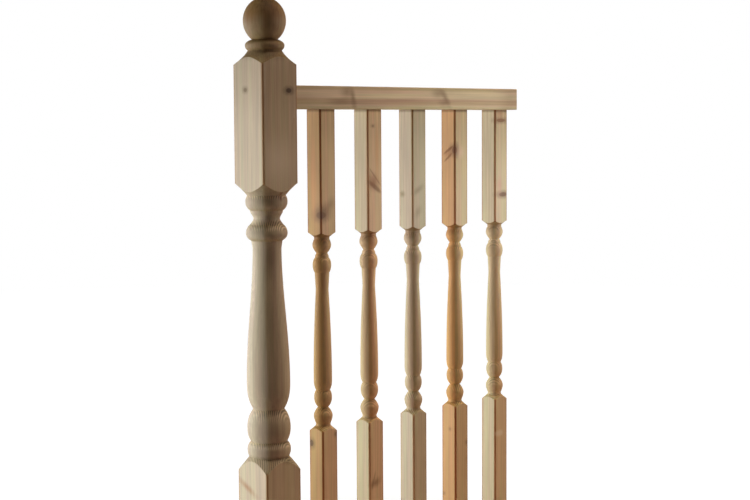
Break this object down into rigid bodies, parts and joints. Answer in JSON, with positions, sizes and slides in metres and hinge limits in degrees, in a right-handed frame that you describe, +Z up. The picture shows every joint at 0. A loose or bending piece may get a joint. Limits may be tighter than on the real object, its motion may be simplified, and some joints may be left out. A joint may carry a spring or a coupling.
{
  "type": "balustrade panel",
  "caption": "Stretch of timber balustrade: a square newel post turned between its blocks with a ball cap, a handrail, a base rail and a row of turned square spindles.",
  "frame": {"origin": "centre of the newel post's foot, on the deck that the panel stands on", "axes": "+X along the rails away from the newel post, +Y through the panel to its back, +Z up the posts"},
  "size_m": [0.754, 0.088, 1.161],
  "materials": {
    "newel_timber": "planed and turned softwood, pressure treated, pale with a green tint",
    "rail_timber": "planed softwood, pressure treated, pink brown with grain along the rail",
    "spindle_timber_orange": "planed and turned softwood, orange brown heartwood",
    "spindle_timber_green": "planed and turned softwood, pale with a green tint",
    "spindle_timber_grey": "planed and turned softwood, pale greyish beige"
  },
  "bodies": {
    "root": {"newel_post": "newel_timber", "handrail": "rail_timber", "base_rail": "rail_timber", "spindle_1": "spindle_timber_orange", "spindle_2": "spindle_timber_green", "spindle_3": "spindle_timber_grey", "spindle_4": "spindle_timber_orange", "spindle_5": "spindle_timber_green"}
  },
  "joints": []
}
